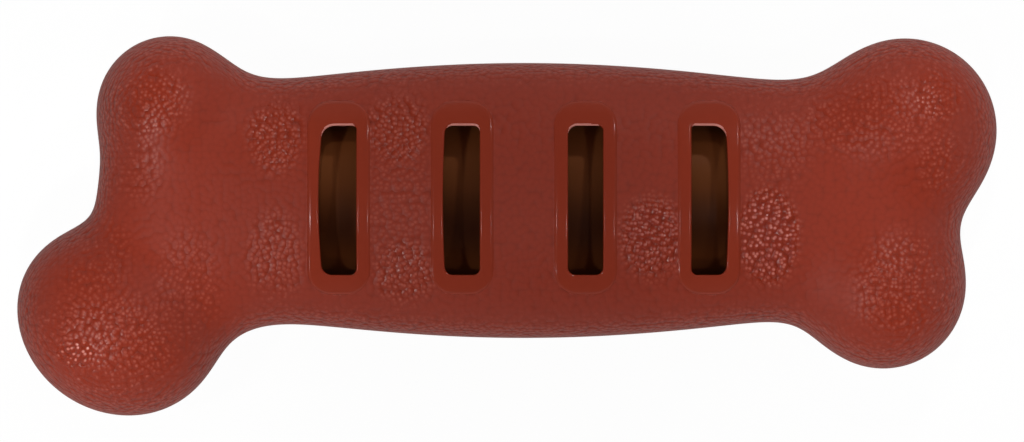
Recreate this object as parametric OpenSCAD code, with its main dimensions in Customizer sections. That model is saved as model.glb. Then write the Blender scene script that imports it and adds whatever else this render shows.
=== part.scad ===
// Rubber chew bone: two moulded rubber halves, bonded along the parting line round a captive inner bone.
// The middle of the shaft is where x and y are measured from, and the parting plane is where z is.
// place() then sets the whole bone down with its lowest point at z = 0 and its outline centred.

/* [Shaft] */
// Width of the shaft at its middle
shaft_w = 50.7; // [46:0.2:56]
// Thickness of the shaft at its middle, from face to face
shaft_t = 37; // [34:0.5:42]
// Distance from the middle of the shaft to the centre of each round end
shaft_reach = 58.6; // [54:0.2:64]
// How far each edge has drawn in at the ends of the shaft
edge_draw = 6.2; // [4:0.2:8]
// How far each face has drawn in at the ends of the shaft
face_draw = 2.2; // [0.6:0.2:3.8]
// Squareness of the shaft's section, where 2 is an ellipse
shaft_squareness_share = 2.4; // [2:0.1:3]

/* [Knuckles] */
// Thickness of the four knuckles, which the bone lies on
knuckle_t = 40; // [38:0.5:46]
// Thickness of the stems that carry the knuckles
stem_t = 22; // [18:0.5:26]
// Distance from the middle of the shaft to the root of each stem
stem_root = 36.2; // [30:0.2:40]
// Size of the soft blend where knuckles, stems and shaft run together
blend = 3; // [1.5:0.25:4]

/* [Rear left knuckle] */
// Distance of its centre along the bone
rear_left_x = 65; // [60:0.1:70]
// Distance of its centre from the centre line
rear_left_y = 17; // [14:0.1:20]
// Radius of the knuckle
rear_left_r = 12; // [10:0.1:15]
// Half the width of its stem
rear_left_stem_r = 9.9; // [8:0.1:12]

/* [Front left knuckle] */
// Distance of its centre along the bone
front_left_x = 74.7; // [70:0.1:78]
// Distance of its centre from the centre line
front_left_y = 22.1; // [18:0.1:24]
// Radius of the knuckle, taken over its length and width
front_left_r = 17.4; // [15:0.1:20]
// Half the width of its stem
front_left_stem_r = 12; // [10:0.1:14]
// How much longer than round the knuckle is along its long axis
front_left_stretch_share = 1.08; // [1:0.01:1.12]
// Direction of its long axis, in degrees
front_left_turn = 146; // [120:1:170]

/* [Rear right knuckle] */
// Distance of its centre along the bone
rear_right_x = 70; // [65:0.1:74]
// Distance of its centre from the centre line
rear_right_y = 13; // [11:0.1:16]
// Radius of the knuckle
rear_right_r = 16.1; // [14:0.1:18]
// Half the width of its stem
rear_right_stem_r = 12.2; // [10:0.1:14]

/* [Front right knuckle] */
// Distance of its centre along the bone
front_right_x = 66; // [61:0.1:70]
// Distance of its centre from the centre line
front_right_y = 15.9; // [13:0.1:19]
// Radius of the knuckle
front_right_r = 14.5; // [13:0.1:17]
// Half the width of its stem
front_right_stem_r = 9.5; // [7:0.1:11]

/* [Slots] */
// Number of slots in each face of the shaft
slot_count = 4; // [2:1:4]
// Distance between neighbouring slots
slot_pitch = 22.5; // [18:0.5:24]
// Width of a slot
slot_w = 6.4; // [5.4:0.1:7.4]
// Length of a slot, across the bone
slot_l = 27.2; // [22:0.2:30]
// Corner radius of a slot
slot_r = 1.6; // [1:0.1:2.4]
// Rounding of the slot's mouth
mouth_round = 0.4; // [0.2:0.05:0.5]

/* [Slot frames] */
// Width of the smooth raised frame round a slot
frame_w = 11.5; // [10.8:0.1:13]
// Length of the frame
frame_l = 35.4; // [33:0.2:38]
// Corner radius of the frame
frame_r = 4.4; // [3:0.1:5]
// How far the frame lies towards the rear of the slot's middle
frame_back = 0.5; // [0:0.1:0.8]
// Height of the frame above the pebbled rubber
frame_h = 0.6; // [0.55:0.05:1]
// Width of the soft shoulder along the frame's outer edge
frame_shoulder = 1.5; // [0.8:0.1:1.8]

/* [Inner core] */
// Rubber over the core, at the faces of the shaft
face_wall = 7; // [5.5:0.25:8.5]
// Rubber beside the core, at the edges of the shaft
side_wall = 8.5; // [7:0.25:10]
// Radius of the core's own knuckles
core_knuckle_r = 7.5; // [6:0.25:9]
// Thickness of the core's own knuckles
core_knuckle_t = 25; // [22:0.5:28]
// Half the width of the stems of the core's knuckles
core_stem_r = 6; // [5:0.25:7]
// How far along the bone's own knuckles the core's knuckles lie
core_along_share = 0.85; // [0.75:0.01:0.88]
// How far off the centre line they lie, against the bone's own
core_across_share = 0.7; // [0.6:0.01:0.75]
// Gap all round between the core and the rubber
fit_gap = 0.15; // [0.1:0.05:0.3]

/* [Smoothness] */
// Steps along the shaft
shaft_steps = 26; // [18:1:30]
// Steps round each end of the bone
end_steps = 20; // [14:1:24]
// Steps from the parting line up to the crest of the rubber
rise_steps = 12; // [8:1:14]
// Steps from the parting line up to the crest of the core
core_rise_steps = 7; // [5:1:9]
// Steps round each corner of a frame
corner_steps = 3; // [2:1:5]
// Steps along each long side of a frame
side_steps = 6; // [4:1:8]

/* [Hidden] */
rubber_colour = "#853326";
core_colour = "#2e170c";
round_facets = 32;
search_halvings = 16;
levelling_passes = 3;

// How deep a frame is rooted in the rubber under it
frame_root = frame_h;
// How far a frame reaches over the slot before the slot is cut
frame_overlap = slot_r / 2;
// How far the rounding of a mouth runs on past the wall of the slot
mouth_lap = mouth_round / 12;
// Where the cut for a slot starts, well inside the space for the core
slot_floor = core_knuckle_t / 6;

// A knuckle is [x, y, radius, stretch, turn, half thickness, stem radius, stem half thickness].
plain_knuckles = [
    [-rear_left_x, rear_left_y, rear_left_r, 1, 0, knuckle_t / 2, rear_left_stem_r, stem_t / 2],
    [-front_left_x, -front_left_y, front_left_r, front_left_stretch_share, front_left_turn,
        knuckle_t / 2, front_left_stem_r, stem_t / 2],
    [rear_right_x, rear_right_y, rear_right_r, 1, 0, knuckle_t / 2, rear_right_stem_r, stem_t / 2],
    [front_right_x, -front_right_y, front_right_r, 1, 0, knuckle_t / 2, front_right_stem_r, stem_t / 2],
];

// A form is [knuckles, [half width, half thickness, reach, edge draw, face draw] of the shaft, stem root].
plain_form = [plain_knuckles, [shaft_w / 2, shaft_t / 2, shaft_reach, edge_draw, face_draw], stem_root];

// The blend lifts each crest by its own amount, so the knuckles are levelled until all four meet the ground.
function levelled(form, passes) =
    passes == 0 ? form
    : levelled([[for (k = form[0]) levelled_knuckle(k, form)], form[1], form[2]], passes - 1);

function levelled_knuckle(k, form) =
    let (short_by = knuckle_t / 2 - height_over(k[0], k[1], form))
    [k[0], k[1], k[2], k[3], k[4], k[5] + short_by, k[6], k[7]];

bone_form = levelled(plain_form, levelling_passes);

// The core's form, or with a gap the form of the space that the rubber leaves for it.
function core_form(gap) = [
    [for (k = plain_knuckles) [k[0] * core_along_share, k[1] * core_across_share,
        core_knuckle_r + gap, 1, 0, core_knuckle_t / 2 + gap, core_stem_r + gap, core_stem_r + gap]],
    [shaft_w / 2 - side_wall + gap, shaft_t / 2 - face_wall + gap,
        shaft_reach * core_along_share, edge_draw * core_along_share, face_draw * core_along_share],
    stem_root * core_along_share,
];

// Signed measures of how far a point lies outside one knuckle, one stem or the shaft.
function knuckle_gap(p, k) =
    let (dx = p.x - k[0], dy = p.y - k[1])
    let (along = dx * cos(k[4]) + dy * sin(k[4]), across = dy * cos(k[4]) - dx * sin(k[4]))
    (norm([along / k[3], across * k[3], p.z * k[2] / k[5]]) / k[2] - 1) * k[2];

function stem_gap(p, k, root) =
    let (start = [sign(k[0]) * root, 0], run = [k[0], k[1]] - start, from = [p.x, p.y] - start)
    let (share = max(0, min(1, (from * run) / (run * run))))
    (norm([norm(from - share * run) / k[6], p.z / k[7]]) - 1) * k[6];

function shaft_gap(p, s) =
    let (share = min(1, pow(p.x / s[2], 2)), past = max(0, abs(p.x) - s[2]), n = shaft_squareness_share)
    let (half_w = s[0] - s[3] * share, half_t = s[1] - s[4] * share)
    (pow(pow(norm([past, p.y]) / half_w, n) + pow(abs(p.z) / half_t, n), 1 / n) - 1) * half_w;

// The smooth union of all of them: below zero inside the form, zero on its skin.
function form_gap(p, form) =
    let (gaps = [shaft_gap(p, form[1]),
        for (k = form[0]) knuckle_gap(p, k),
        for (k = form[0]) stem_gap(p, k, form[2])])
    -blend * ln([for (g = gaps) exp(-g / blend)] * [for (g = gaps) 1]);

// Where a ray from a point inside leaves the skin, found by halving the stretch that it must lie in.
function skin_hit(from, way, form, near, far, left) =
    let (mid = (near + far) / 2)
    left == 0 ? from + mid * way
    : form_gap(from + mid * way, form) < 0 ? skin_hit(from, way, form, mid, far, left - 1)
    : skin_hit(from, way, form, near, mid, left - 1);

function skin_point(x, azimuth, rise, form) =
    skin_hit([x, 0, 0], [cos(rise) * cos(azimuth), cos(rise) * sin(azimuth), sin(rise)], form,
        0, shaft_reach, search_halvings);

// Height of a form's skin over a place in plan.
function height_over(x, y, form) = skin_hit([x, y, 0], [0, 0, 1], form, 0, knuckle_t, search_halvings).z;

// Rays go round the bone from a spine along the shaft: fans at its two ends, parallel rays between.
station_count = 2 * (end_steps + shaft_steps);

function spine_x(i, form) = form[1][2] * (1 - 2 * i / shaft_steps);

function crest_index(k) =
    k < end_steps ? 0
    : k < end_steps + shaft_steps ? k - end_steps
    : k < 2 * end_steps + shaft_steps ? shaft_steps
    : station_count - k;

function azimuth(k) =
    k < end_steps ? 180 * k / end_steps - 90
    : k < end_steps + shaft_steps ? 90
    : k < 2 * end_steps + shaft_steps ? 180 * (k - end_steps - shaft_steps) / end_steps + 90
    : 270;

// The skin's points from the parting line up to the crest: one ring for each step, then the crest line.
function skin_points(form, rises) = [
    for (j = [0 : rises - 1])
        for (k = [0 : station_count - 1])
            skin_point(spine_x(crest_index(k), form), azimuth(k), 90 * j / rises, form),
    for (i = [0 : shaft_steps]) skin_point(spine_x(i, form), 90, 90, form),
];

function ring_next(k) = (k + 1) % station_count;

// The skin's faces, seen clockwise from outside.
function skin_faces(rises) =
    let (crest = rises * station_count)
    [
        for (j = [0 : rises - 2])
            for (k = [0 : station_count - 1])
                for (f = quad(j * station_count + k, j * station_count + ring_next(k),
                    (j + 1) * station_count + ring_next(k), (j + 1) * station_count + k)) f,
        for (k = [0 : station_count - 1])
            let (low = (rises - 1) * station_count)
            let (a = crest + crest_index(k), b = crest + crest_index(ring_next(k)))
            for (f = a == b ? [[low + k, a, low + ring_next(k)]]
                : quad(low + k, low + ring_next(k), b, a)) f,
    ];

function quad(a, b, c, d) = [[a, c, b], [a, d, c]];
function flipped(faces) = [for (f = faces) [f[2], f[1], f[0]]];
function shifted(faces, by) = [for (f = faces) [for (i = f) i + by]];

bone_points = skin_points(bone_form, rise_steps);
bone_low = [for (i = [0 : 2]) min([for (p = bone_points) p[i]])];
bone_high = [for (i = [0 : 2]) max([for (p = bone_points) p[i]])];

module place() {
    translate([-(bone_low.x + bone_high.x) / 2, -(bone_low.y + bone_high.y) / 2, bone_high.z])
        children();
}

// Half of the rubber without its slots: the outer skin, the space for the core, and the parting face.
module rubber_half() {
    space_points = skin_points(core_form(fit_gap), core_rise_steps);
    shift = len(bone_points);
    parting_face = [
        for (k = [0 : station_count - 1])
            for (f = quad(shift + k, shift + ring_next(k), ring_next(k), k)) f,
    ];
    space_faces = shifted(flipped(skin_faces(core_rise_steps)), shift);
    polyhedron(
        points = concat(bone_points, space_points),
        faces = concat(skin_faces(rise_steps), space_faces, parting_face)
    );
}

// A rounded rectangle as points that keep their number at any size, with steps along its long sides.
function side_points(x, y_from, y_to) =
    [for (i = [1 : side_steps - 1]) [x, y_from + (y_to - y_from) * i / side_steps]];

function corner_points(x, y, r, from) = [
    for (i = [0 : corner_steps])
        let (turn = from + 90 * i / corner_steps)
        [x, y] + r * [cos(turn), sin(turn)],
];

function ring_points(w, l, r) =
    let (x = w / 2 - r, y = l / 2 - r)
    concat(
        corner_points(x, y, r, 0), corner_points(-x, y, r, 90), side_points(-w / 2, y, -y),
        corner_points(-x, -y, r, 180), corner_points(x, -y, r, 270), side_points(w / 2, -y, y)
    );

// One ring of a raised frame at a height over the skin, with its outline set in from the frame's own
// or set out from the slot's.
function ring_over(w, l, r, x, y, rise) =
    [for (q = ring_points(w, l, r)) [x + q.x, y + q.y, height_over(x + q.x, y + q.y, bone_form) + rise]];

function frame_ring(inset, x, rise) =
    ring_over(frame_w - 2 * inset, frame_l - 2 * inset, frame_r - inset, x, frame_back, rise);

function mouth_ring(outset, x, rise) =
    ring_over(slot_w + 2 * outset, slot_l + 2 * outset, slot_r + outset, x, 0, rise);

// From the frame's root, up its soft shoulder, over its rim and round the slot's mouth to inside the slot.
function frame_rings(x) = [
    frame_ring(0, x, -frame_root),
    for (a = [0, 45, 90]) frame_ring(frame_shoulder * a / 90, x, frame_h * sin(a)),
    for (a = [0, 45, 90])
        mouth_ring(mouth_round * (1 - sin(a)) - mouth_lap, x, frame_h - mouth_round * (1 - cos(a))),
    mouth_ring(-frame_overlap, x, frame_h - mouth_round),
    mouth_ring(-frame_overlap, x, -frame_root),
];

module slot_frame(x) {
    rings = frame_rings(x);
    n = len(rings[0]);
    m = len(rings);
    polyhedron(
        points = [for (ring = rings) for (p = ring) p],
        faces = [
            for (j = [0 : m - 1])
                for (i = [0 : n - 1])
                    let (this = j * n, above = ((j + 1) % m) * n, next = (i + 1) % n)
                    for (f = quad(this + i, this + next, above + next, above + i)) f,
        ]
    );
}

module slot_outline() {
    square([slot_w - 2 * slot_r, slot_l], center = true);
    square([slot_w, slot_l - 2 * slot_r], center = true);
    for (sx = [-1, 1]) {
        for (sy = [-1, 1]) {
            translate([sx * (slot_w / 2 - slot_r), sy * (slot_l / 2 - slot_r)])
                circle(r = slot_r, $fn = round_facets);
        }
    }
}

function slot_x(i) = (i - (slot_count - 1) / 2) * slot_pitch;

module shell_half() {
    difference() {
        union() {
            rubber_half();
            for (i = [0 : slot_count - 1]) {
                slot_frame(slot_x(i));
            }
        }
        for (i = [0 : slot_count - 1]) {
            translate([slot_x(i), 0, slot_floor])
                linear_extrude(height = knuckle_t / 2)
                    slot_outline();
        }
    }
}

module inner_core() {
    upper = skin_points(core_form(0), core_rise_steps);
    lower = [for (p = upper) [p.x, p.y, -p.z]];
    faces = skin_faces(core_rise_steps);
    lower_faces = [for (f = flipped(faces)) [for (i = f) i < station_count ? i : i + len(upper)]];
    color(core_colour)
        place()
            polyhedron(points = concat(upper, lower), faces = concat(faces, lower_faces));
}

module upper_shell() {
    color(rubber_colour)
        place()
            shell_half();
}

module lower_shell() {
    color(rubber_colour)
        place()
            mirror([0, 0, 1])
                shell_half();
}

inner_core();
lower_shell();
upper_shell();
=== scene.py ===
import math

import bmesh
import bpy
import numpy as np
from mathutils import Matrix, Vector


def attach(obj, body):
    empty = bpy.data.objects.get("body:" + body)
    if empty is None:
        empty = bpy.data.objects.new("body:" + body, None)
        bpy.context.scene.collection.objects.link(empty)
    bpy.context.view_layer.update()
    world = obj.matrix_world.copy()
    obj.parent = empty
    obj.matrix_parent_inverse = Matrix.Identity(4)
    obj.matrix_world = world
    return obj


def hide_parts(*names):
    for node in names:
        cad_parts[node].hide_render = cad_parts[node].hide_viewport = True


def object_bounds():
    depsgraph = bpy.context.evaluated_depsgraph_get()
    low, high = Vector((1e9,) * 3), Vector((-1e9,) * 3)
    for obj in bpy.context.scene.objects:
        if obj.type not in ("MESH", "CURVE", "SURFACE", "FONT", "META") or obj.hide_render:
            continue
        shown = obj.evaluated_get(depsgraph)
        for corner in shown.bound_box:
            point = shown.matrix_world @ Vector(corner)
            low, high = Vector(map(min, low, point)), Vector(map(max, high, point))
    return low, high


# The looks of a rubber chew bone: two pebbled rubber halves, bonded round a glossy inner bone.
# Lengths are in metres. The bone is shaped about the middle of its shaft, then set where the packed
# model is.

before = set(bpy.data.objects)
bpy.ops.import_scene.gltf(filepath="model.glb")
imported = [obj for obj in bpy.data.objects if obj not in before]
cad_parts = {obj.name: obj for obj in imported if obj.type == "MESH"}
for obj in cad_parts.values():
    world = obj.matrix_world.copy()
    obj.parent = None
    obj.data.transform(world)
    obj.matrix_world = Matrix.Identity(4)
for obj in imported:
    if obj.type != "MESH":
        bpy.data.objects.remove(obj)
cad_low, cad_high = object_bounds()

# Shaft: its width and thickness at its middle, where its round ends begin, how far each side and each
# face has drawn in by there, and the power of its section, which is 2 where that is an ellipse
SHAFT_WIDTH = 0.0507
SHAFT_THICKNESS = 0.037
SHAFT_REACH = 0.0586
EDGE_DRAW = 0.0062
FACE_DRAW = 0.0022
SHAFT_SQUARENESS = 2.4

# Knuckles, and the stems that carry them from a root on the shaft's axis. All run together over about
# the length of the blend.
KNUCKLE_THICKNESS = 0.04
STEM_THICKNESS = 0.022
STEM_ROOT = 0.0362
BLEND = 0.003
KNUCKLES = (
    {"x": -0.065, "y": 0.017, "radius": 0.012, "stretch": 1, "turn": 0, "stem": 0.0099},
    {"x": -0.0747, "y": -0.0221, "radius": 0.0174, "stretch": 1.08, "turn": 146, "stem": 0.012},
    {"x": 0.07, "y": 0.013, "radius": 0.0161, "stretch": 1, "turn": 0, "stem": 0.0122},
    {"x": 0.066, "y": -0.0159, "radius": 0.0145, "stretch": 1, "turn": 0, "stem": 0.0095},
)

# Inner bone: the rubber over and beside its shaft, its own knuckles and stems, the share of the outer
# bone's reach that it has, and its clearance
FACE_WALL = 0.007
SIDE_WALL = 0.0085
CORE_KNUCKLE_RADIUS = 0.0075
CORE_KNUCKLE_THICKNESS = 0.025
CORE_STEM = 0.006
CORE_ALONG_SHARE = 0.85
CORE_ACROSS_SHARE = 0.7
FIT_GAP = 0.00015

# Slots and the smooth raised frame round each. A frame lies a little to the rear of its slot. It is a
# ring that roots under the skin and has its foot in the inner bone's space. Shares go from the slot's
# outline, 0, to the frame's, 1: they say how wide the skin is cut, how far out the foot reaches, where
# the mouth's bands end and where the shoulder's begin.
SLOT_PITCH = 0.0225
SLOT_WIDTH = 0.0064
SLOT_LENGTH = 0.0272
FRAME_WIDTH = 0.0115
FRAME_LENGTH = 0.0354
FRAME_CORNER = 0.0044
FRAME_BACK = 0.0005
FRAME_RISE = 0.0002
FRAME_SHOULDER = 0.0006
MOUTH_ROUND = 0.0004
REAR_ROUND = 0.0006
HOLE_SHARE = 0.3
FRAME_ROOT = 0.001
CORNER_SEGMENTS = 8
LONG_CUTS = 27
SHORT_CUTS = 3
WALL_FOOT = 0.004
SKIRT_SHARE = 0.6
LIP_BANDS = 4
MOUTH_SHARE = 0.18
MOUTH_BANDS = 6
FACE_BANDS = 4
SHOULDER_SHARE = 0.77
SHOULDER_BANDS = 5
# Each slot from the left: its corner radii, front then rear, each left then right, how far its left
# and its right side bow out, and the degrees round its rear end between which the painted highlight on its
# rear lip runs
SLOTS = (
    {"corners": ((0.0019, 0.0012), (0.0024, 0.0007)), "bows": (0.0005, 0), "lip": (35, 178)},
    {"corners": ((0.0015, 0.0012), (0.0014, 0.0011)), "bows": (0.0003, 0), "lip": (4, 150)},
    {"corners": ((0.0014, 0.0014), (0.0017, 0.0009)), "bows": (0, 0), "lip": (60, 178)},
    {"corners": ((0.0011, 0.0016), (0.0006, 0.0024)), "bows": (0, 0.0003), "lip": (2, 150)},
)

# Making of the skins: rough balls and stems first, then even faces eased and slid onto the form
SHAFT_SEGMENTS = 64
SHAFT_RINGS = 32
KNUCKLE_SPLITS = 4
STEM_SEGMENTS = 32
CREST_PASSES = 3
HALVINGS = 24
NUDGE = 0.00002
ROUGH_VOXEL = 0.0015
ROUGH_PASSES = 5
SKIN_VOXEL = 0.00046
SKIN_PASSES = 2
CORE_VOXEL = 0.0008
SPACE_VOXEL = 0.0012
EASE_PASSES = 2
EASE_FACTOR = 0.5
CREASE_ANGLE = math.radians(60)

# Pebbles: how deep under the form their crests lie, their pitch and scatter, their depth in the mesh
# and in the bump, the part of the bump that plain skin keeps, the dips taken as mean and as crest, and
# how sharply one side's cells give way to another's
SKIN_INSET = 0.00012
PEBBLE_PITCH = 0.00105
PEBBLE_SCATTER = 0.9
PEBBLE_DEPTH = 0.00009
PEBBLE_GRAIN = 0.0004
PLAIN_GRAIN = 0.2
MEAN_DIP = 0.17
CREST_DIP = 0.12
PLANE_BLEND = 5

# Seam: a land with no pebbles, where they are whole again, and the groove
SEAM_LAND = 0.0003
SEAM_FADE = 0.0007
SEAM_GROOVE = 0.00015
SEAM_WIDTH = 0.00025

# Worn patches where the pebbles stand out, are smoother and carry painted highlights on their crests: middle,
# reach along and across, and strength
POLISHED_AND_HIGHLIGHTED = (
    (0.0476, -0.0019, 0.0058, 0.0092, 1.8),
    (0.0265, -0.0022, 0.0066, 0.0082, 0.95),
    (-0.02, 0.0176, 0.0062, 0.0075, 0.65),
    (-0.0187, -0.0085, 0.0062, 0.007, 0.65),
    (-0.02, 0.0045, 0.0065, 0.02, 0.3),
    (-0.0422, 0.0167, 0.0055, 0.0075, 0.75),
    (-0.0422, -0.006, 0.0055, 0.0095, 0.5),
    (0.0486, 0.0152, 0.0075, 0.0095, 0.3),
    (-0.0787, -0.0232, 0.0036, 0.0026, 3),
    (-0.0738, -0.0228, 0.0155, 0.0115, 0.6),
    (-0.0668, 0.0235, 0.0095, 0.0085, 0.65),
    (-0.0679, 0.0115, 0.006, 0.0075, 0.35),
    (-0.0756, -0.0054, 0.0075, 0.009, 0.4),
    (-0.0582, -0.0125, 0.0065, 0.0125, 0.35),
    (0.0666, 0.0213, 0.0165, 0.0095, 0.4),
    (0.0786, 0.024, 0.0055, 0.0055, 0.7),
    (0.0795, 0.0112, 0.005, 0.0065, 0.5),
    (0.0731, -0.0118, 0.0105, 0.0115, 0.55),
)
# A patch fades out between these shares of its reach
PATCH_FADE = (1.2, 0.6)
# Towards the rim too the pebbles are smoother and carry painted highlights on their crests: from where the
# normal's upright part is this, to where it is that
RIM_FADE = (0.75, 0.45)
RIM_POLISH_AND_HIGHLIGHT = 0.5
# The painted highlights on the crests are uneven: the part of a noise that counts, and the least share of the
# highlight
HIGHLIGHT_NOISE_RANGE = (0.35, 0.65)
LEAST_HIGHLIGHT = 0.35

# Finish, as linear colours and pairs of least and most roughness
RUBBER_DEEP = (0.182, 0.0172, 0.0059, 1)
RUBBER_PALE = (0.235, 0.0235, 0.0084, 1)
RUBBER_ROUGHNESS = (0.5, 0.62)
# Painted highlight: the pale pink that the pebbles' crests are mixed towards
CREST_HIGHLIGHT = (0.5, 0.17, 0.13, 1)
SMOOTH_DEEP = (0.18, 0.0205, 0.0083, 1)
SMOOTH_PALE = (0.226, 0.027, 0.011, 1)
SMOOTH_ROUGHNESS = (0.12, 0.18)
# Painted highlight along the slots' rear lips, in two tones
LIP_HIGHLIGHT_DEEP = (0.43, 0.16, 0.13, 1)
LIP_HIGHLIGHT_PALE = (0.54, 0.2, 0.165, 1)
LIP_ROUGHNESS = (0.3, 0.4)
CORE_DEEP = (0.033, 0.0068, 0.0012, 1)
CORE_PALE = (0.175, 0.054, 0.0155, 1)
CORE_ROUGHNESS = (0.27, 0.37)
# Painted light: how far the core pales towards the slots' ends, lifting the shade of their walls
CORE_PAINTED_LIGHT_SHARE = 0.9
CORE_DRIFT_SHARE = 0.2
POLISHED_ROUGHNESS = 0.2
RUBBER_SHINE = 0.3
CORE_SHINE = 0.08
# Painted shade: how much darker the rubber is in the dips between pebbles
CREVICE_SHADE = 0.2
# Painted highlight: how strongly the pebbles' crests are mixed towards their pale pink
CREST_HIGHLIGHT_STRENGTH = 0.46
SPECK_SHARE = 0.35
MICRO_DEPTH = 0.000012

# Noises: scale and detail
DRIFT = (55, 3)
SPECK = (900, 2)
HIGHLIGHT_NOISE = (900, 1)
MICRO = (5200, 2)
CORE_DRIFT = (165, 3)
CORE_SPECK = (900, 3)
CORE_WAVE = (220, 2)

# Studio. The floor glows to the camera by a share, and glossy rays see it at the strength of its shine.
WHITE = (1, 1, 1, 1)
SENSOR_WIDTH = 36
CAMERA_DISTANCE = 2.5
VIEW_WIDTH = 0.18791
VIEW_ASIDE = 0.00093
VIEW_BEHIND = 0.00089
FLOOR_HALF = 3
FLOOR_SQUARES = 8
FLOOR_COLOUR = (0.9, 0.9, 0.9, 1)
FLOOR_ROUGHNESS = 0.9
FLOOR_GLOW = 0.96
FLOOR_SHINE = 0.35
WORLD_LEVEL = 0.125
AIM = (0, 0, 0.03)

# Lamps round the bone, which leave the glints: name, azimuth and elevation in degrees, size, power
LAMP_DISTANCE = 0.45
GLINT_LAMPS = (
    ("left lamp", 194, 60, 0.025, 0.32),
    ("front left lamp", 222, 32, 0.025, 0.5),
    ("rear right lamp", 58, 40, 0.025, 0.38),
    ("right lamp", 340, 66, 0.03, 0.18),
)
# Low soft panels round the bone, which leave no glints: name, azimuth in degrees, power
PANEL_DISTANCE = 0.5
PANEL_ELEVATION = 15
PANEL_SIZE = 0.3
PANELS = (
    ("left panel", 180, 0.28),
    ("front panel", 270, 0.68),
    ("right panel", 0, 0.62),
    ("rear panel", 90, 0.85),
)
# Lamps from above, which leave no glints either: one for all, and one for each knuckle
KEY_HEIGHT = 1.8
KEY_SIZE = 0.2
KEY_POWER = 0.7
FILL_HEIGHT = 0.6
FILL_ASIDE = 0.25
FILL_BEYOND = 0.007
FILL_SPREAD = math.radians(8)
FILL_SIZE = 0.03
LEFT_FILL_POWER = 7.2
RIGHT_FILL_POWER = 6.6

parting_z = (cad_low.z + cad_high.z) / 2


# The form: balls, stems and a shaft run softly together

def bone_form():
    """The outer bone. The blend lifts its knuckles, so they are thinned until their crests are right."""
    knuckles = [
        {**knuckle, "half": KNUCKLE_THICKNESS / 2, "stem_half": STEM_THICKNESS / 2} for knuckle in KNUCKLES
    ]
    shaft = {
        "half_width": SHAFT_WIDTH / 2, "half": SHAFT_THICKNESS / 2, "reach": SHAFT_REACH,
        "edge_draw": EDGE_DRAW, "face_draw": FACE_DRAW,
    }
    form = {"knuckles": knuckles, "shaft": shaft, "root": STEM_ROOT}
    places = np.array([(knuckle["x"], knuckle["y"]) for knuckle in knuckles])
    for _ in range(CREST_PASSES):
        for knuckle, crest in zip(knuckles, height_over(places, form)):
            knuckle["half"] += KNUCKLE_THICKNESS / 2 - crest
    return form


def core_form(gap):
    """The inner bone, grown by a gap all round."""
    knuckles = [
        {
            "x": knuckle["x"] * CORE_ALONG_SHARE, "y": knuckle["y"] * CORE_ACROSS_SHARE,
            "radius": CORE_KNUCKLE_RADIUS + gap, "stretch": 1, "turn": 0,
            "half": CORE_KNUCKLE_THICKNESS / 2 + gap,
            "stem": CORE_STEM + gap, "stem_half": CORE_STEM + gap,
        }
        for knuckle in KNUCKLES
    ]
    shaft = {
        "half_width": SHAFT_WIDTH / 2 - SIDE_WALL + gap, "half": SHAFT_THICKNESS / 2 - FACE_WALL + gap,
        "reach": SHAFT_REACH * CORE_ALONG_SHARE,
        "edge_draw": EDGE_DRAW * CORE_ALONG_SHARE, "face_draw": FACE_DRAW * CORE_ALONG_SHARE,
    }
    return {"knuckles": knuckles, "shaft": shaft, "root": STEM_ROOT * CORE_ALONG_SHARE}


def knuckle_gap(points, knuckle):
    turn = math.radians(knuckle["turn"])
    x, y = points[:, 0] - knuckle["x"], points[:, 1] - knuckle["y"]
    along = (x * math.cos(turn) + y * math.sin(turn)) / knuckle["stretch"]
    across = (y * math.cos(turn) - x * math.sin(turn)) * knuckle["stretch"]
    up = points[:, 2] * knuckle["radius"] / knuckle["half"]
    return np.sqrt(along**2 + across**2 + up**2) - knuckle["radius"]


def stem_gap(points, knuckle, root):
    start = np.array((math.copysign(root, knuckle["x"]), 0.0))
    run = np.array((knuckle["x"], knuckle["y"])) - start
    past = points[:, :2] - start
    share = np.clip(past @ run / (run @ run), 0, 1)
    aside = np.linalg.norm(past - share[:, None] * run, axis=1)
    return (np.hypot(aside / knuckle["stem"], points[:, 2] / knuckle["stem_half"]) - 1) * knuckle["stem"]


def shaft_gap(points, shaft):
    share = np.minimum(1, (points[:, 0] / shaft["reach"]) ** 2)
    past = np.maximum(0, np.abs(points[:, 0]) - shaft["reach"])
    half_width = shaft["half_width"] - shaft["edge_draw"] * share
    half = shaft["half"] - shaft["face_draw"] * share
    aside = (np.hypot(past, points[:, 1]) / half_width) ** SHAFT_SQUARENESS
    up = (np.abs(points[:, 2]) / half) ** SHAFT_SQUARENESS
    return ((aside + up) ** (1 / SHAFT_SQUARENESS) - 1) * half_width


def form_gap(points, form):
    """How far points lie outside the form: below zero inside it, and zero on its skin."""
    gaps = [shaft_gap(points, form["shaft"])]
    gaps += [knuckle_gap(points, knuckle) for knuckle in form["knuckles"]]
    gaps += [stem_gap(points, knuckle, form["root"]) for knuckle in form["knuckles"]]
    gaps = np.stack(gaps)
    least = gaps.min(axis=0)
    return least - BLEND * np.log(np.exp((least - gaps) / BLEND).sum(axis=0))


def height_over(places, form):
    """The skin's height over places in plan, found by halving."""
    low, high = np.zeros(len(places)), np.full(len(places), KNUCKLE_THICKNESS)
    for _ in range(HALVINGS):
        middle = (low + high) / 2
        inside = form_gap(np.column_stack((places, middle)), form) < 0
        low, high = np.where(inside, middle, low), np.where(inside, high, middle)
    return low


def onto_skin(points, form, passes, depth=0.0):
    """Slides points along the form's slope until they lie a given depth under its skin."""
    steps = NUDGE * np.eye(3)
    for _ in range(passes):
        rises = [form_gap(points + step, form) - form_gap(points - step, form) for step in steps]
        slope = np.stack(rises, axis=1) / (2 * NUDGE)
        past = form_gap(points, form) + depth
        points = points - (past / (slope**2).sum(axis=1))[:, None] * slope
    return points


# Mesh helpers

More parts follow.
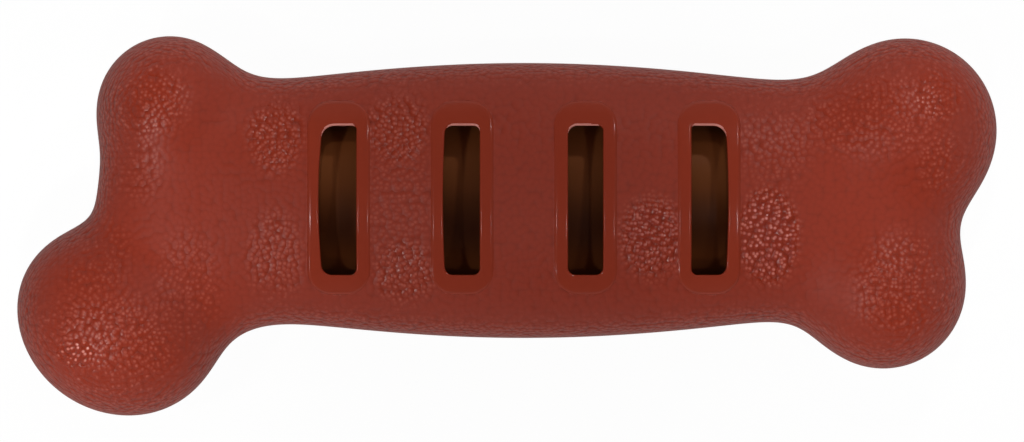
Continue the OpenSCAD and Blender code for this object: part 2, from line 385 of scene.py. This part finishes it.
def points_of(mesh):
    flat = np.empty(len(mesh.vertices) * 3, np.float32)
    mesh.vertices.foreach_get("co", flat)
    return flat.reshape(-1, 3).astype(float)


def set_points(mesh, points):
    mesh.vertices.foreach_set("co", points.astype(np.float32).ravel())
    mesh.update()


def mesh_from(bm, name):
    mesh = bpy.data.meshes.new(name)
    bm.to_mesh(mesh)
    bm.free()
    return mesh


def parts_of(made, kind):
    """The vertices, or the edges, of what an operator made."""
    return [part for part in made if isinstance(part, kind)]


def after_modifier(mesh, kind, **settings):
    """The mesh that a modifier makes of this one."""
    holder = bpy.data.objects.new("holder", mesh)
    bpy.context.scene.collection.objects.link(holder)
    modifier = holder.modifiers.new(kind, kind)
    for name, value in settings.items():
        setattr(modifier, name, value)
    graph = bpy.context.evaluated_depsgraph_get()
    made = bpy.data.meshes.new_from_object(holder.evaluated_get(graph))
    bpy.data.objects.remove(holder)
    return made


def combined(mesh, operation, other):
    """A boolean of two closed meshes, each of which keeps its own material."""
    tool = bpy.data.objects.new("tool", other)
    bpy.context.scene.collection.objects.link(tool)
    made = after_modifier(
        mesh, "BOOLEAN", operation=operation, object=tool, solver="MANIFOLD", material_mode="TRANSFER"
    )
    bpy.data.objects.remove(tool)
    return made


# Skins

def rough_form(form):
    """Balls, stems and a long ball, about where the form's skin is."""
    bm = bmesh.new()
    shaft = form["shaft"]
    half_length = shaft["reach"] + shaft["half_width"] / 2
    size = Matrix.Diagonal((half_length, shaft["half_width"], shaft["half"], 1))
    bmesh.ops.create_uvsphere(bm, u_segments=SHAFT_SEGMENTS, v_segments=SHAFT_RINGS, radius=1, matrix=size)
    for knuckle in form["knuckles"]:
        radius, stem = knuckle["radius"], knuckle["stem"]
        centre = Vector((knuckle["x"], knuckle["y"], 0))
        ball = Matrix.Translation(centre) @ Matrix.Diagonal((radius, radius, knuckle["half"], 1))
        bmesh.ops.create_icosphere(bm, subdivisions=KNUCKLE_SPLITS, radius=1, matrix=ball)
        run = centre - Vector((math.copysign(form["root"], knuckle["x"]), 0, 0))
        flat = Matrix.Diagonal((1, 1, knuckle["stem_half"] / stem, 1))
        lie = run.to_track_quat("Z", "Y").to_matrix().to_4x4()
        bmesh.ops.create_cone(
            bm, cap_ends=True, segments=STEM_SEGMENTS, radius1=stem, radius2=stem, depth=run.length,
            matrix=Matrix.Translation(centre - run / 2) @ flat @ lie,
        )
    return mesh_from(bm, "rough form")


def even_skin(form, voxel, depth=0.0):
    """A closed skin of the form with even, small faces, at a depth under it."""
    mesh = after_modifier(rough_form(form), "REMESH", mode="VOXEL", voxel_size=ROUGH_VOXEL)
    set_points(mesh, onto_skin(points_of(mesh), form, ROUGH_PASSES))
    mesh = after_modifier(mesh, "REMESH", mode="VOXEL", voxel_size=voxel)
    bm = bmesh.new()
    bm.from_mesh(mesh)
    for _ in range(EASE_PASSES):
        bmesh.ops.smooth_vert(
            bm, verts=bm.verts, factor=EASE_FACTOR, use_axis_x=True, use_axis_y=True, use_axis_z=True
        )
    mesh = mesh_from(bm, "skin")
    set_points(mesh, onto_skin(points_of(mesh), form, SKIN_PASSES, depth))
    return mesh


def skin_in_place(form, voxel, shift, depth=0.0):
    mesh = even_skin(form, voxel, depth)
    set_points(mesh, points_of(mesh) + np.array(shift))
    return mesh


def shift_to_model(form):
    """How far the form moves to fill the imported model's box."""
    points = points_of(even_skin(form, ROUGH_VOXEL))
    return (cad_low + cad_high) / 2 - Vector((points.min(axis=0) + points.max(axis=0)) / 2)


# Node helpers, for shader and geometry trees

def feed(tree, socket, value):
    """Links a socket to what feeds it, or sets it to a plain value."""
    if isinstance(value, bpy.types.NodeSocket):
        tree.links.new(value, socket)
    else:
        socket.default_value = value


def math_node(tree, operation, *values):
    node = tree.nodes.new("ShaderNodeMath")
    node.operation = operation
    for socket, value in zip(node.inputs, values):
        feed(tree, socket, value)
    return node.outputs["Value"]


def scaled(tree, vector, scale):
    node = tree.nodes.new("ShaderNodeVectorMath")
    node.operation = "SCALE"
    tree.links.new(vector, node.inputs["Vector"])
    tree.links.new(scale, node.inputs["Scale"])
    return node.outputs["Vector"]


def axes_of(tree, vector):
    node = tree.nodes.new("ShaderNodeSeparateXYZ")
    tree.links.new(vector, node.inputs["Vector"])
    return node.outputs


def ranged(tree, value, source=(0, 1), target=(0, 1), smooth=False):
    """A value carried from one range to another and held at its ends."""
    node = tree.nodes.new("ShaderNodeMapRange")
    if smooth:
        node.interpolation_type = "SMOOTHSTEP"
    tree.links.new(value, node.inputs["Value"])
    for name, end in zip(("From Min", "From Max", "To Min", "To Max"), (*source, *target)):
        feed(tree, node.inputs[name], end)
    return node.outputs["Result"]


def mixed(tree, share, first, second):
    """Two colours mixed, by the share of the second."""
    node = tree.nodes.new("ShaderNodeMix")
    node.data_type = "RGBA"
    for name, value in (("Factor", share), ("A", first), ("B", second)):
        feed(tree, node.inputs[name], value)
    return node.outputs["Result"]


def noise(tree, place, pattern):
    scale, detail = pattern
    node = tree.nodes.new("ShaderNodeTexNoise")
    node.inputs["Scale"].default_value = scale
    node.inputs["Detail"].default_value = detail
    tree.links.new(place, node.inputs["Vector"])
    return node.outputs["Fac"]


def bumped(tree, height, depth, before=None):
    bump = tree.nodes.new("ShaderNodeBump")
    bump.inputs["Distance"].default_value = depth
    bump.inputs["Strength"].default_value = 1
    tree.links.new(height, bump.inputs["Height"])
    if before:
        tree.links.new(before, bump.inputs["Normal"])
    return bump.outputs["Normal"]


# Pebbles

def pebble_dip(tree, place, normal):
    """How deep it is between close round pebbles, 0 on a crest: flat cells seen from three sides."""
    axes, facing = axes_of(tree, place), axes_of(tree, normal)
    total = weights = 0
    for across, up, out in (("X", "Y", "Z"), ("X", "Z", "Y"), ("Y", "Z", "X")):
        flat = tree.nodes.new("ShaderNodeCombineXYZ")
        tree.links.new(axes[across], flat.inputs["X"])
        tree.links.new(axes[up], flat.inputs["Y"])
        cells = tree.nodes.new("ShaderNodeTexVoronoi")
        cells.voronoi_dimensions = "2D"
        cells.inputs["Scale"].default_value = 1 / PEBBLE_PITCH
        cells.inputs["Randomness"].default_value = PEBBLE_SCATTER
        tree.links.new(flat.outputs["Vector"], cells.inputs["Vector"])
        weight = math_node(tree, "POWER", math_node(tree, "ABSOLUTE", facing[out]), PLANE_BLEND)
        dip = math_node(tree, "POWER", cells.outputs["Distance"], 2)
        total = math_node(tree, "ADD", total, math_node(tree, "MULTIPLY", dip, weight))
        weights = math_node(tree, "ADD", weights, weight)
    return math_node(tree, "DIVIDE", total, weights)


def off_seam(tree, place):
    """How far the pebbles are let stand: 0 on the seam's land, and 1 away from it."""
    away = math_node(tree, "ABSOLUTE", math_node(tree, "SUBTRACT", axes_of(tree, place)["Z"], parting_z))
    return ranged(tree, away, (SEAM_LAND, SEAM_FADE))


def pebble_tree():
    """Sinks the skin between its pebbles."""
    tree = bpy.data.node_groups.new("pebbled skin", "GeometryNodeTree")
    for way in ("INPUT", "OUTPUT"):
        tree.interface.new_socket("Geometry", in_out=way, socket_type="NodeSocketGeometry")
    start = tree.nodes.new("NodeGroupInput")
    end = tree.nodes.new("NodeGroupOutput")
    place = tree.nodes.new("GeometryNodeInputPosition").outputs["Position"]
    normal = tree.nodes.new("GeometryNodeInputNormal").outputs["Normal"]
    dip = math_node(tree, "MULTIPLY", pebble_dip(tree, place, normal), off_seam(tree, place))
    depth = math_node(tree, "MULTIPLY", dip, -PEBBLE_DEPTH)
    move = tree.nodes.new("GeometryNodeSetPosition")
    tree.links.new(start.outputs["Geometry"], move.inputs["Geometry"])
    tree.links.new(scaled(tree, normal, depth), move.inputs["Offset"])
    tree.links.new(move.outputs["Geometry"], end.inputs["Geometry"])
    return tree


# Rubber halves

def half_of(skin, side):
    """One closed half of the skin, cut flat at the parting line, its edge drawn in to a fine groove."""
    bm = bmesh.new()
    bm.from_mesh(skin)
    for level in (SEAM_LAND, SEAM_WIDTH / 2):
        bmesh.ops.bisect_plane(
            bm, geom=bm.verts[:] + bm.edges[:] + bm.faces[:],
            plane_co=(0, 0, parting_z + side * level), plane_no=(0, 0, 1),
        )
    cut = bmesh.ops.bisect_plane(
        bm, geom=bm.verts[:] + bm.edges[:] + bm.faces[:],
        plane_co=(0, 0, parting_z), plane_no=(0, 0, side), clear_inner=True,
    )["geom_cut"]
    rim = parts_of(cut, bmesh.types.BMEdge)
    for vert in {vert for edge in rim for vert in edge.verts}:
        vert.co -= SEAM_GROOVE * Vector((vert.normal.x, vert.normal.y, 0)).normalized()
    bmesh.ops.triangle_fill(bm, edges=rim, use_beauty=True, normal=(0, 0, -side))
    return mesh_from(bm, "half skin")


def frame_loop(bm):
    """The edges of a frame's flat outline about the origin, with small steps along its sides."""
    corners = bmesh.ops.create_grid(bm, x_segments=1, y_segments=1, size=0.5)["verts"]
    bmesh.ops.scale(bm, vec=(FRAME_WIDTH, FRAME_LENGTH, 1), verts=corners)
    bmesh.ops.bevel(
        bm, geom=corners, offset=FRAME_CORNER, offset_type="OFFSET", affect="VERTICES",
        segments=CORNER_SEGMENTS, profile=0.5, material=-1,
    )
    bm.faces.remove(bm.faces[:][0])
    for axis, cuts in ((1, LONG_CUTS), (0, SHORT_CUTS)):
        sides = sorted(bm.edges, key=lambda e: abs(e.verts[0].co[axis] - e.verts[1].co[axis]))[-2:]
        bmesh.ops.subdivide_edges(bm, edges=sides, cuts=cuts)
    return bm.edges[:]


def lerp(a, b, share):
    return a + (b - a) * share


def between(home, slot, share):
    """Places on the frame's outline, carried a share of the way from the slot's own outline to it."""
    half_frame = np.array((FRAME_WIDTH, FRAME_LENGTH)) / 2
    half = lerp(np.array((SLOT_WIDTH, SLOT_LENGTH)) / 2, half_frame, share)
    straight = np.clip(home, FRAME_CORNER - half_frame, half_frame - FRAME_CORNER)
    along = straight / (half_frame - FRAME_CORNER)
    ways = (along + 1) / 2
    (front_left, front_right), (rear_left, rear_right) = slot["corners"]
    front, rear = lerp(front_left, front_right, ways[:, 0]), lerp(rear_left, rear_right, ways[:, 0])
    corner = lerp(lerp(front, rear, ways[:, 1]), FRAME_CORNER, share)[:, None]
    places = along * (half - corner) + (home - straight) * corner / FRAME_CORNER
    swell = (1 - share) * (1 - along[:, 1] ** 2)
    left, right = slot["bows"]
    places[:, 0] += swell * (right * np.maximum(along[:, 0], 0) + left * np.minimum(along[:, 0], 0))
    return places


def grown(bm, edges, ranks):
    """A copy of a loop, joined to it by a band of faces: its edges, and its vertices' old ranks."""
    made = bmesh.ops.extrude_edge_only(bm, edges=edges)["geom"]
    verts = set(parts_of(made, bmesh.types.BMVert))
    new_ranks = {}
    for vert in verts:
        (old,) = {edge.other_vert(vert) for edge in vert.link_edges} & ranks.keys()
        new_ranks[vert] = ranks[old]
    return [edge for edge in parts_of(made, bmesh.types.BMEdge) if set(edge.verts) <= verts], new_ranks


def face_levels(home, local, places, slot, form):
    """Heights of a raised frame: a round shoulder outside and a rounded mouth round the slot."""
    inside_frame = np.linalg.norm(home - local, axis=1)
    outside_slot = np.linalg.norm(local - between(home, slot, 0), axis=1)
    rear = np.clip((home[:, 1] - FRAME_LENGTH / 2) / FRAME_CORNER + 1, 0, 1)
    mouth_round = lerp(MOUTH_ROUND, REAR_ROUND, rear)
    shoulder = np.sin(math.pi / 2 * np.clip(inside_frame / FRAME_SHOULDER, 0, 1))
    rise = (FRAME_RISE + SKIN_INSET) * shoulder - SKIN_INSET
    mouth = 1 - np.clip(outside_slot / mouth_round, 0, 1)
    return height_over(places, form) + rise - mouth_round * (1 - np.sqrt(1 - mouth**2))


def lip_bands(home, slot):
    """How many bands of faces deep the painted highlight on the slot's rear lip is at each place on the
    frame's outline.
    """
    past = home - np.array((0, FRAME_LENGTH / 2 - FRAME_CORNER))
    start, end = slot["lip"]
    share = (np.degrees(np.arctan2(past[:, 1], past[:, 0])) - start) / (end - start)
    return LIP_BANDS * np.sqrt(np.clip(4 * share * (1 - share), 0, 1))


def ring_rows():
    """The rows of a frame's ring: over its face from the slot outwards, under the skin, and up the walls."""
    shares = (
        *np.linspace(0, MOUTH_SHARE, MOUTH_BANDS + 1)[:-1],
        *np.linspace(MOUTH_SHARE, SHOULDER_SHARE, FACE_BANDS + 1)[:-1],
        *np.linspace(SHOULDER_SHARE, 1, SHOULDER_BANDS + 1),
    )
    return [(share, "face") for share in shares] + [
        (1, "root"), (SKIRT_SHARE, "foot"), (0, "foot"), (0, "face"),
    ]


def frame_ring(slot_x, slot, form):
    """One slot's raised frame with the slot's walls, as a closed ring down into the inner bone's space."""
    bm = bmesh.new()
    edges = frame_loop(bm)
    home = np.array([vert.co.xy for vert in bm.verts])
    ranks = {vert: rank for rank, vert in enumerate(bm.verts)}
    first = list(ranks)
    bands = lip_bands(home, slot)
    for step, (share, part) in enumerate(ring_rows()):
        before = set(bm.faces)
        if step:
            edges, ranks = grown(bm, edges, ranks)
        local = between(home, slot, share)
        places = local + np.array((slot_x, FRAME_BACK * share))
        if part == "face":
            levels = face_levels(home, local, places, slot, form)
        elif part == "root":
            levels = height_over(places, form) - FRAME_ROOT
        else:
            levels = np.full(len(places), WALL_FOOT)
        for vert, rank in ranks.items():
            vert.co = (*places[rank], levels[rank])
        for face in set(bm.faces) - before:
            # Faces within the lip's bands take the second material, a painted highlight along the slot's rear
            # lip
            face.material_index = int(step <= min(bands[ranks[vert]] for vert in face.verts if vert in ranks))
    bmesh.ops.remove_doubles(bm, verts=first + list(ranks), dist=NUDGE)
    return mesh_from(bm, "ring")


def slot_hole(slot_x, slot):
    """A closed plug, a little wider than the slot."""
    bm = bmesh.new()
    edges = frame_loop(bm)
    home = np.array([vert.co.xy for vert in bm.verts])
    for vert, place in zip(bm.verts, between(home, slot, HOLE_SHARE)):
        vert.co.xy = place
    bmesh.ops.contextual_create(bm, geom=edges)
    made = bmesh.ops.extrude_face_region(bm, geom=bm.faces[:], use_keep_orig=True)["geom"]
    bmesh.ops.translate(bm, vec=(0, 0, KNUCKLE_THICKNESS), verts=parts_of(made, bmesh.types.BMVert))
    bmesh.ops.translate(bm, vec=(slot_x, 0, WALL_FOOT), verts=bm.verts)
    return mesh_from(bm, "plug")


def settled(meshes, side, shift):
    """Turns shapes made on the upper face to their side, in place and with their faces outwards."""
    bm = bmesh.new()
    for mesh in meshes:
        bm.from_mesh(mesh)
    bmesh.ops.scale(bm, vec=(1, 1, side), verts=bm.verts)
    bmesh.ops.translate(bm, vec=shift, verts=bm.verts)
    bmesh.ops.recalc_face_normals(bm, faces=bm.faces)
    return mesh_from(bm, "settled")


def placed_slots():
    return [((rank - (len(SLOTS) - 1) / 2) * SLOT_PITCH, slot) for rank, slot in enumerate(SLOTS)]


def rubber_half(name, node, skin, space, side, shift, form):
    """Half the skin with its slots cut, its frames let in and the inner bone's space cut out of both."""
    holes = settled([slot_hole(*placed) for placed in placed_slots()], side, shift)
    rings = settled([frame_ring(*placed, form) for placed in placed_slots()], side, shift)
    rings.materials.append(smooth_rubber)
    rings.materials.append(lip_highlight_rubber)
    mesh = half_of(skin, side)
    mesh.materials.append(pebbled_rubber)
    mesh = combined(mesh, "DIFFERENCE", holes)
    mesh = combined(mesh, "UNION", rings)
    mesh = combined(mesh, "DIFFERENCE", space)
    piece_of(name, node, mesh)


def piece_of(name, node, mesh):
    mesh.name = name
    mesh.shade_smooth()
    mesh.set_sharp_from_angle(angle=CREASE_ANGLE)
    piece = bpy.data.objects.new(name, mesh)
    bpy.context.scene.collection.objects.link(piece)
    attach(piece, "root")
    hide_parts(node)


# Materials

def rubber_tone_group():
    """Soft, uneven tone of moulded rubber: colour and roughness that drift over the surface."""
    group = bpy.data.node_groups.new("rubber tone", "ShaderNodeTree")
    for name, way, kind in (
        ("Deep", "INPUT", "NodeSocketColor"), ("Pale", "INPUT", "NodeSocketColor"),
        ("Least roughness", "INPUT", "NodeSocketFloat"), ("Most roughness", "INPUT", "NodeSocketFloat"),
        ("Colour", "OUTPUT", "NodeSocketColor"), ("Roughness", "OUTPUT", "NodeSocketFloat"),
    ):
        group.interface.new_socket(name, in_out=way, socket_type=kind)
    start = group.nodes.new("NodeGroupInput").outputs
    end = group.nodes.new("NodeGroupOutput").inputs
    place = group.nodes.new("ShaderNodeTexCoord").outputs["Object"]
    drift = math_node(group, "MULTIPLY", noise(group, place, DRIFT), 1 - SPECK_SHARE)
    speck = math_node(group, "MULTIPLY", noise(group, place, SPECK), SPECK_SHARE)
    both = math_node(group, "ADD", drift, speck)
    colour = mixed(group, both, start["Deep"], start["Pale"])
    roughness = ranged(group, both, target=(start["Least roughness"], start["Most roughness"]))
    group.links.new(colour, end["Colour"])
    group.links.new(roughness, end["Roughness"])
    return group


def patch_polish_and_highlight(tree, place, x, y, along, across, strength):
    """One polished patch's strength within, fading to nothing round it: it smooths the pebbles and sets
    painted highlights on their crests.
    """
    patch = tree.nodes.new("ShaderNodeMapping")
    patch.vector_type = "TEXTURE"
    patch.inputs["Location"].default_value = (x, y, cad_high.z)
    patch.inputs["Scale"].default_value = (along, across, SHAFT_WIDTH)
    tree.links.new(place, patch.inputs["Vector"])
    reach = tree.nodes.new("ShaderNodeVectorMath")
    reach.operation = "LENGTH"
    tree.links.new(patch.outputs["Vector"], reach.inputs["Vector"])
    return ranged(tree, reach.outputs["Value"], PATCH_FADE, (0, strength), smooth=True)


def polish_and_highlight_over(tree, place, normal):
    """How polished the pebbles are, towards the rim and in the patches: this smooths them and sets painted
    highlights on their crests.
    """
    upright = math_node(tree, "ABSOLUTE", axes_of(tree, normal)["Z"])
    polish_and_highlight = ranged(tree, upright, RIM_FADE, (0, RIM_POLISH_AND_HIGHLIGHT))
    for patch in POLISHED_AND_HIGHLIGHTED:
        polish_and_highlight = math_node(tree, "MAXIMUM", polish_and_highlight, patch_polish_and_highlight(tree, place, *patch))
    return polish_and_highlight


def pebble_group():
    """The pebbles' dips, their relief for a bump, the painted highlights on their crests, and how polished
    they are.
    """
    group = bpy.data.node_groups.new("pebble grain", "ShaderNodeTree")
    for name in ("Dip", "Relief", "Crest", "Polish"):
        group.interface.new_socket(name, in_out="OUTPUT", socket_type="NodeSocketFloat")
    coordinates = group.nodes.new("ShaderNodeTexCoord").outputs
    place, normal = coordinates["Object"], coordinates["Normal"]
    dip = pebble_dip(group, place, normal)
    clear = off_seam(group, place)
    polish_and_highlight = polish_and_highlight_over(group, place, normal)
    sunk = math_node(group, "MULTIPLY", math_node(group, "SUBTRACT", dip, MEAN_DIP), clear)
    relief = math_node(group, "MULTIPLY", sunk, ranged(group, polish_and_highlight, target=(PLAIN_GRAIN, 1)))
    crest = math_node(group, "MULTIPLY", ranged(group, dip, (CREST_DIP, 0), smooth=True), clear)
    highlight_share = ranged(group, noise(group, place, HIGHLIGHT_NOISE), HIGHLIGHT_NOISE_RANGE, (LEAST_HIGHLIGHT, 1))
    crest_highlight = math_node(group, "MULTIPLY", math_node(group, "MULTIPLY", crest, polish_and_highlight), highlight_share)
    end = group.nodes.new("NodeGroupOutput").inputs
    for name, value in (("Dip", dip), ("Relief", relief), ("Crest", crest_highlight), ("Polish", polish_and_highlight)):
        group.links.new(value, end[name])
    return group


def new_material(name, shine):
    material = bpy.data.materials.new(name)
    material.use_nodes = True
    shader = material.node_tree.nodes["Principled BSDF"]
    shader.inputs["Specular IOR Level"].default_value = shine
    return material, material.node_tree, shader


def group_node(tree, group, *values):
    """A node group placed in a material, with values of its own for the group's inputs, in their order."""
    node = tree.nodes.new("ShaderNodeGroup")
    node.node_tree = group
    for socket, value in zip(node.inputs, values):
        socket.default_value = value
    return node.outputs


def dress(tree, shader, colour, roughness, normal):
    for name, value in (("Base Color", colour), ("Roughness", roughness), ("Normal", normal)):
        tree.links.new(value, shader.inputs[name])


def rubber(name, tone, deep, pale, roughness, grain=None):
    """A rubber between two tones and two roughnesses, with pebbles on it where it has a grain, painted shade
    in their dips and painted highlights on their crests.
    """
    material, tree, shader = new_material(name, RUBBER_SHINE)
    tones = group_node(tree, tone, deep, pale, *roughness)
    colour, roughness = tones["Colour"], tones["Roughness"]
    place = tree.nodes.new("ShaderNodeTexCoord").outputs["Object"]
    normal = bumped(tree, noise(tree, place, MICRO), MICRO_DEPTH)
    if grain:
        pebbles = group_node(tree, grain)
        roughness = ranged(tree, pebbles["Polish"], target=(roughness, POLISHED_ROUGHNESS))
        normal = bumped(tree, pebbles["Relief"], -PEBBLE_GRAIN, normal)
        # Painted shade: the colour darkens in the dips between the pebbles
        colour = scaled(tree, colour, ranged(tree, pebbles["Dip"], target=(1, 1 - CREVICE_SHADE)))
        # Painted highlight: the crests are mixed towards a pale pink where the pebbles are polished
        highlight_share = math_node(tree, "MULTIPLY", pebbles["Crest"], CREST_HIGHLIGHT_STRENGTH)
        colour = mixed(tree, highlight_share, colour, CREST_HIGHLIGHT)
    dress(tree, shader, colour, roughness, normal)
    return material


def core_gloss():
    """A glossy brown with a drifting tone, paler from the middle of the bone towards the slots' ends: painted
    light that lifts the shade of the slots' walls.
    """
    material, tree, shader = new_material("glossy brown core", CORE_SHINE)
    place = tree.nodes.new("ShaderNodeTexCoord").outputs["Object"]
    aside = math_node(tree, "ABSOLUTE", axes_of(tree, place)["Y"])
    # Painted light: paler towards the slots' ends, lifting the shade that their walls cast
    ends = ranged(tree, aside, (0, SLOT_LENGTH / 2), (0, CORE_PAINTED_LIGHT_SHARE), smooth=True)
    drift = math_node(tree, "MULTIPLY", noise(tree, place, CORE_DRIFT), CORE_DRIFT_SHARE)
    colour = mixed(tree, math_node(tree, "ADD", ends, drift), CORE_DEEP, CORE_PALE)
    roughness = ranged(tree, noise(tree, place, CORE_SPECK), target=CORE_ROUGHNESS)
    dress(tree, shader, colour, roughness, bumped(tree, noise(tree, place, CORE_WAVE), MICRO_DEPTH))
    return material


# Studio

def stand_for(lamp, place, aim):
    stand = bpy.data.objects.new(lamp.name, lamp)
    stand.location = place
    stand.rotation_mode = "QUATERNION"
    stand.rotation_quaternion = (Vector(aim) - Vector(place)).to_track_quat("-Z", "Y")
    stand.visible_camera = False
    bpy.context.scene.collection.objects.link(stand)
    return stand


def disk_lamp(name, place, size, power, aim):
    lamp = bpy.data.lights.new(name, "AREA")
    lamp.shape = "DISK"
    lamp.size = size
    lamp.energy = power
    return stand_for(lamp, place, aim)


def soft_spot(name, place, power, aim):
    lamp = bpy.data.lights.new(name, "SPOT")
    lamp.spot_size = FILL_SPREAD
    lamp.spot_blend = 1
    lamp.shadow_soft_size = FILL_SIZE
    lamp.energy = power
    return stand_for(lamp, place, aim)


def place_round(aim, distance, azimuth, elevation):
    """A place seen from the aim at an azimuth and an elevation, in degrees."""
    turn, rise = math.radians(azimuth), math.radians(elevation)
    way = Vector((math.cos(rise) * math.cos(turn), math.cos(rise) * math.sin(turn), math.sin(rise)))
    return aim + distance * way


def lamps(shift):
    aim = Vector(AIM)
    for name, azimuth, elevation, size, power in GLINT_LAMPS:
        disk_lamp(name, place_round(aim, LAMP_DISTANCE, azimuth, elevation), size, power, aim)
    soft = [disk_lamp("key lamp", (0, 0, KEY_HEIGHT), KEY_SIZE, KEY_POWER, aim)]
    for name, azimuth, power in PANELS:
        place = place_round(aim, PANEL_DISTANCE, azimuth, PANEL_ELEVATION)
        soft.append(disk_lamp(name, place, PANEL_SIZE, power, aim))
    for knuckle in KNUCKLES:
        x, y = knuckle["x"], knuckle["y"]
        power = LEFT_FILL_POWER if x < 0 else RIGHT_FILL_POWER
        target = Vector((x, y, 0)) + shift + Vector((math.copysign(FILL_BEYOND, x), 0, 0))
        away = Vector((0, math.copysign(FILL_ASIDE, y), FILL_HEIGHT))
        soft.append(soft_spot("fill lamp", target + away, power, target))
    for stand in soft:
        stand.visible_glossy = False


def by_ray(tree, ray, low, high):
    """A value for all rays but one kind, and another for that kind."""
    rays = tree.nodes.new("ShaderNodeLightPath")
    return ranged(tree, rays.outputs[ray], target=(low, high))


def shader_mix(tree, share, first, second):
    mix = tree.nodes.new("ShaderNodeMixShader")
    for socket, value in zip(mix.inputs, (share, first, second)):
        tree.links.new(value, socket)
    return mix.outputs["Shader"]


def white_floor():
    """A floor that is white to the camera but keeps the bone's shadow, and that glossy rays see as grey."""
    bm = bmesh.new()
    bmesh.ops.create_grid(bm, x_segments=FLOOR_SQUARES, y_segments=FLOOR_SQUARES, size=FLOOR_HALF)
    floor = bpy.data.objects.new("floor", mesh_from(bm, "floor"))
    bpy.context.scene.collection.objects.link(floor)
    material, tree, shader = new_material("white floor", 0)
    shader.inputs["Base Color"].default_value = FLOOR_COLOUR
    shader.inputs["Roughness"].default_value = FLOOR_ROUGHNESS
    glow = tree.nodes.new("ShaderNodeEmission")
    tree.links.new(by_ray(tree, "Is Glossy Ray", 1, FLOOR_SHINE), glow.inputs["Strength"])
    to_camera = by_ray(tree, "Is Camera Ray", 0, FLOOR_GLOW)
    share = math_node(tree, "ADD", to_camera, by_ray(tree, "Is Glossy Ray", 0, 1))
    surface = shader_mix(tree, share, shader.outputs["BSDF"], glow.outputs["Emission"])
    tree.links.new(surface, tree.nodes["Material Output"].inputs["Surface"])
    material.cycles.emission_sampling = "NONE"
    floor.data.materials.append(material)


def white_room():
    """A world that is white to the camera, and a plain dim light to all else."""
    world = bpy.data.worlds.new("white room")
    bpy.context.scene.world = world
    world.use_nodes = True
    tree = world.node_tree
    soft = tree.nodes["Background"]
    soft.inputs["Color"].default_value = WHITE
    soft.inputs["Strength"].default_value = WORLD_LEVEL
    white = tree.nodes.new("ShaderNodeBackground")
    white.inputs["Color"].default_value = WHITE
    to_camera = tree.nodes.new("ShaderNodeLightPath").outputs["Is Camera Ray"]
    surface = shader_mix(tree, to_camera, soft.outputs["Background"], white.outputs["Background"])
    tree.links.new(surface, tree.nodes["World Output"].inputs["Surface"])


def camera_above():
    lens = bpy.data.cameras.new("camera above")
    lens.sensor_width = SENSOR_WIDTH
    lens.lens = SENSOR_WIDTH * CAMERA_DISTANCE / VIEW_WIDTH
    lens.clip_end = 2 * CAMERA_DISTANCE
    camera = bpy.data.objects.new("camera above", lens)
    middle = (cad_low + cad_high) / 2
    camera.location = (middle.x + VIEW_ASIDE, middle.y + VIEW_BEHIND, parting_z + CAMERA_DISTANCE)
    bpy.context.scene.collection.objects.link(camera)
    bpy.context.scene.camera = camera


tone = rubber_tone_group()
pebbled_rubber = rubber(
    "pebbled red rubber", tone, RUBBER_DEEP, RUBBER_PALE, RUBBER_ROUGHNESS, pebble_group()
)
smooth_rubber = rubber("smooth red rubber", tone, SMOOTH_DEEP, SMOOTH_PALE, SMOOTH_ROUGHNESS)
# Painted highlight along the slots' rear lips
lip_highlight_rubber = rubber("rear lip painted highlight", tone, LIP_HIGHLIGHT_DEEP, LIP_HIGHLIGHT_PALE, LIP_ROUGHNESS)
glossy_core = core_gloss()

bone = bone_form()
shift = shift_to_model(bone)
skin = skin_in_place(bone, SKIN_VOXEL, shift, SKIN_INSET)
skin = after_modifier(skin, "NODES", node_group=pebble_tree())
space = skin_in_place(core_form(FIT_GAP), SPACE_VOXEL, shift)
space.materials.append(smooth_rubber)
rubber_half("upper_rubber_half", "upper_shell", skin, space, 1, shift, bone)
rubber_half("lower_rubber_half", "lower_shell", skin, space, -1, shift, bone)
core = skin_in_place(core_form(0), CORE_VOXEL, shift)
core.materials.append(glossy_core)
piece_of("glossy_core", "inner_core", core)

white_floor()
white_room()
camera_above()
lamps(shift)

bpy.context.scene.view_settings.view_transform = "Standard"
